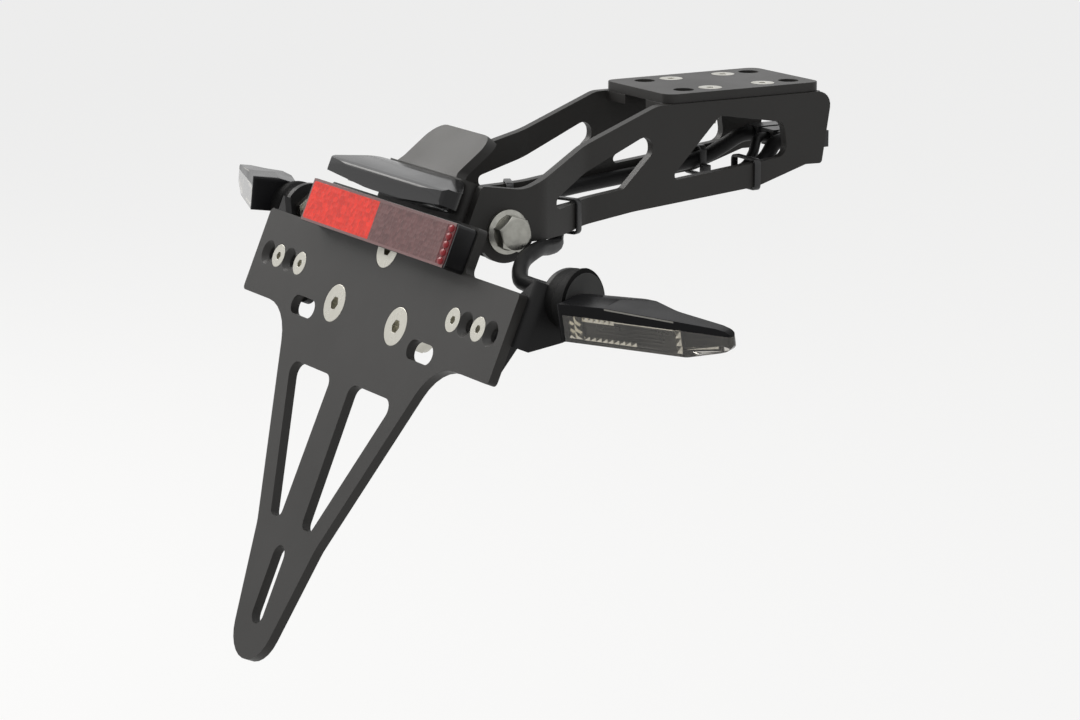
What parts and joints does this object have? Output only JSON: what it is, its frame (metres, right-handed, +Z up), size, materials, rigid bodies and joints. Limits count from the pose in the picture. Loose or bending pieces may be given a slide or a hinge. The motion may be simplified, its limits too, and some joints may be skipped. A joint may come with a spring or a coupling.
{
  "type": "tail tidy",
  "caption": "Motorcycle tail tidy: a folded plate carrier on a clamped tilt bracket between two flat windowed arms, with a red reflector, plate light, smoked indicators and leads.",
  "frame": {"origin": "centre of the four frame bolts, on the top face of the mounting plate", "axes": "+X to the rider's right, +Y forward along the bike, +Z up, square to the mounting plate"},
  "size_m": [0.3985, 0.2701, 0.218],
  "materials": {
    "black_sheet": "satin black powder coat",
    "zinc_steel": "bright zinc plate",
    "black_plastic": "gloss",
    "red_lens": "prismatic",
    "clear_lens": "clear",
    "smoked_lens": "smoked, faceted",
    "lamp_insert": "matte",
    "rubber": "matte",
    "lead_sleeve": "matte"
  },
  "bodies": {
    "root": {"side_arm_right": "black_sheet", "side_arm_left": "black_sheet", "mounting_plate": "black_sheet", "mounting_screws": "zinc_steel", "mounting_nuts": "zinc_steel", "pivot_bolt_right": "zinc_steel", "pivot_bolt_left": "zinc_steel", "pivot_washers": "zinc_steel", "pivot_nut_right": "zinc_steel", "pivot_nut_left": "zinc_steel", "lead_run_right": "lead_sleeve", "lead_run_left": "lead_sleeve", "lead_run_light": "lead_sleeve", "cable_ties": "black_plastic", "lead_connectors": "black_plastic"},
    "tilt": {"tilt_bracket": "black_sheet", "plate_carrier": "black_sheet", "carrier_screws": "zinc_steel", "carrier_nuts": "zinc_steel", "indicator_bracket_right": "black_sheet", "indicator_bracket_left": "black_sheet", "bracket_screws": "zinc_steel", "bracket_nuts": "zinc_steel", "reflector_housing": "black_plastic", "reflector_lens": "red_lens", "reflector_nuts": "zinc_steel", "plate_light_housing": "black_plastic", "plate_light_lens": "clear_lens", "plate_light_board": "lamp_insert", "plate_light_screws": "zinc_steel", "indicator_housing_right": "black_plastic", "indicator_lens_right": "smoked_lens", "indicator_lamp_right": "lamp_insert", "indicator_stem_right": "rubber", "indicator_nut_right": "zinc_steel", "indicator_housing_left": "black_plastic", "indicator_lens_left": "smoked_lens", "indicator_lamp_left": "lamp_insert", "indicator_stem_left": "rubber", "indicator_nut_left": "zinc_steel", "lead_loop_right": "lead_sleeve", "lead_loop_left": "lead_sleeve", "lead_loop_light": "lead_sleeve"}
  },
  "joints": [
    {"name": "plate_tilt", "type": "hinge", "parent": "root", "child": "tilt", "pos_m": [0, -0.123, -0.0465], "axis": [1, 0, 0], "range_deg": [-15, 15]}
  ]
}
